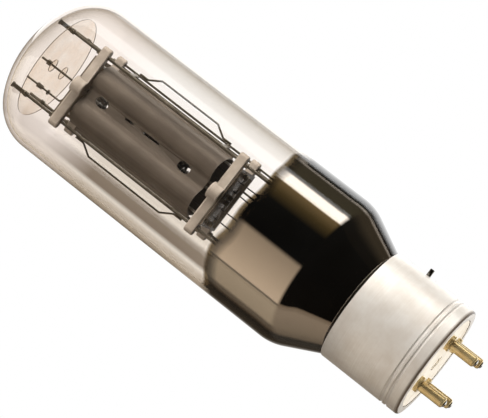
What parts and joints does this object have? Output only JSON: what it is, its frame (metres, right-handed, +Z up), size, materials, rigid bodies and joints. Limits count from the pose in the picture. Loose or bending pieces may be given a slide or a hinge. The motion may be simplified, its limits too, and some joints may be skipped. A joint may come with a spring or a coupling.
{
  "type": "power triode vacuum tube",
  "caption": "Tall clear glass power triode on a satin metal bayonet base, with a two-lobed dark anode held between ceramic bars.",
  "frame": {"origin": "centre of the pin circle, in the plane of the pin tips on which the tube stands", "axes": "+Z up along the tube's axis to the top of the bulb, +X towards the bayonet pin, -Y towards the front"},
  "size_m": [0.064, 0.064, 0.2107],
  "materials": {
    "glass": "clear blown glass",
    "getter_mirror": "vacuum-deposited metal mirror, dark",
    "shell_metal": "satin, fine turned",
    "wafer_ceramic": "unglazed, fine",
    "base_cement": "matt, cast",
    "gilt_brass": "bright, gold plated",
    "solder": "bright, flowed",
    "brass": "dull, aged",
    "bar_ceramic": "unglazed, pressed",
    "mica": "split sheet",
    "anode_metal": "carbonised, matt dark grey",
    "grid_metal": "bright drawn wire",
    "nickel_steel": "drawn wire, dull",
    "tungsten": "dull drawn wire",
    "copper": "tinned copper wire"
  },
  "bodies": {
    "root": {"anode_back": "anode_metal", "anode_front": "anode_metal", "anode_lead": "nickel_steel", "anode_ties": "nickel_steel", "base_cement": "base_cement", "base_leads": "copper", "base_shell": "shell_metal", "base_wafer": "wafer_ceramic", "bayonet_pin": "brass", "centre_post": "nickel_steel", "exhaust_tube": "glass", "filament_bus_inner": "nickel_steel", "filament_bus_outer": "nickel_steel", "filament_hook_left": "nickel_steel", "filament_hook_right": "nickel_steel", "filament_lead_inner": "nickel_steel", "filament_lead_outer": "nickel_steel", "filament_left": "tungsten", "filament_right": "tungsten", "filament_spring": "nickel_steel", "filament_stops": "nickel_steel", "getter_film": "getter_mirror", "getter_ring": "nickel_steel", "getter_stalk": "nickel_steel", "glass_envelope": "glass", "glass_stem": "glass", "grid_collars": "nickel_steel", "grid_lead": "nickel_steel", "grid_rods_left": "grid_metal", "grid_rods_right": "grid_metal", "grid_strap": "nickel_steel", "grid_winding_left": "grid_metal", "grid_winding_right": "grid_metal", "lower_bar_back": "bar_ceramic", "lower_bar_front": "bar_ceramic", "lower_deck": "mica", "mica_eyelets": "nickel_steel", "outer_wire_left": "nickel_steel", "outer_wire_right": "nickel_steel", "pin_anode": "gilt_brass", "pin_filament_left": "gilt_brass", "pin_filament_right": "gilt_brass", "pin_grid": "gilt_brass", "pin_solder": "solder", "post_washers": "mica", "rod_caps": "nickel_steel", "rod_collars": "nickel_steel", "side_bow_left": "nickel_steel", "side_bow_right": "nickel_steel", "side_rod_back_left": "nickel_steel", "side_rod_back_right": "nickel_steel", "side_rod_front_left": "nickel_steel", "side_rod_front_right": "nickel_steel", "stem_clamp": "nickel_steel", "top_mica": "mica", "upper_bar_back": "bar_ceramic", "upper_bar_front": "bar_ceramic", "upper_deck": "mica"}
  },
  "joints": []
}
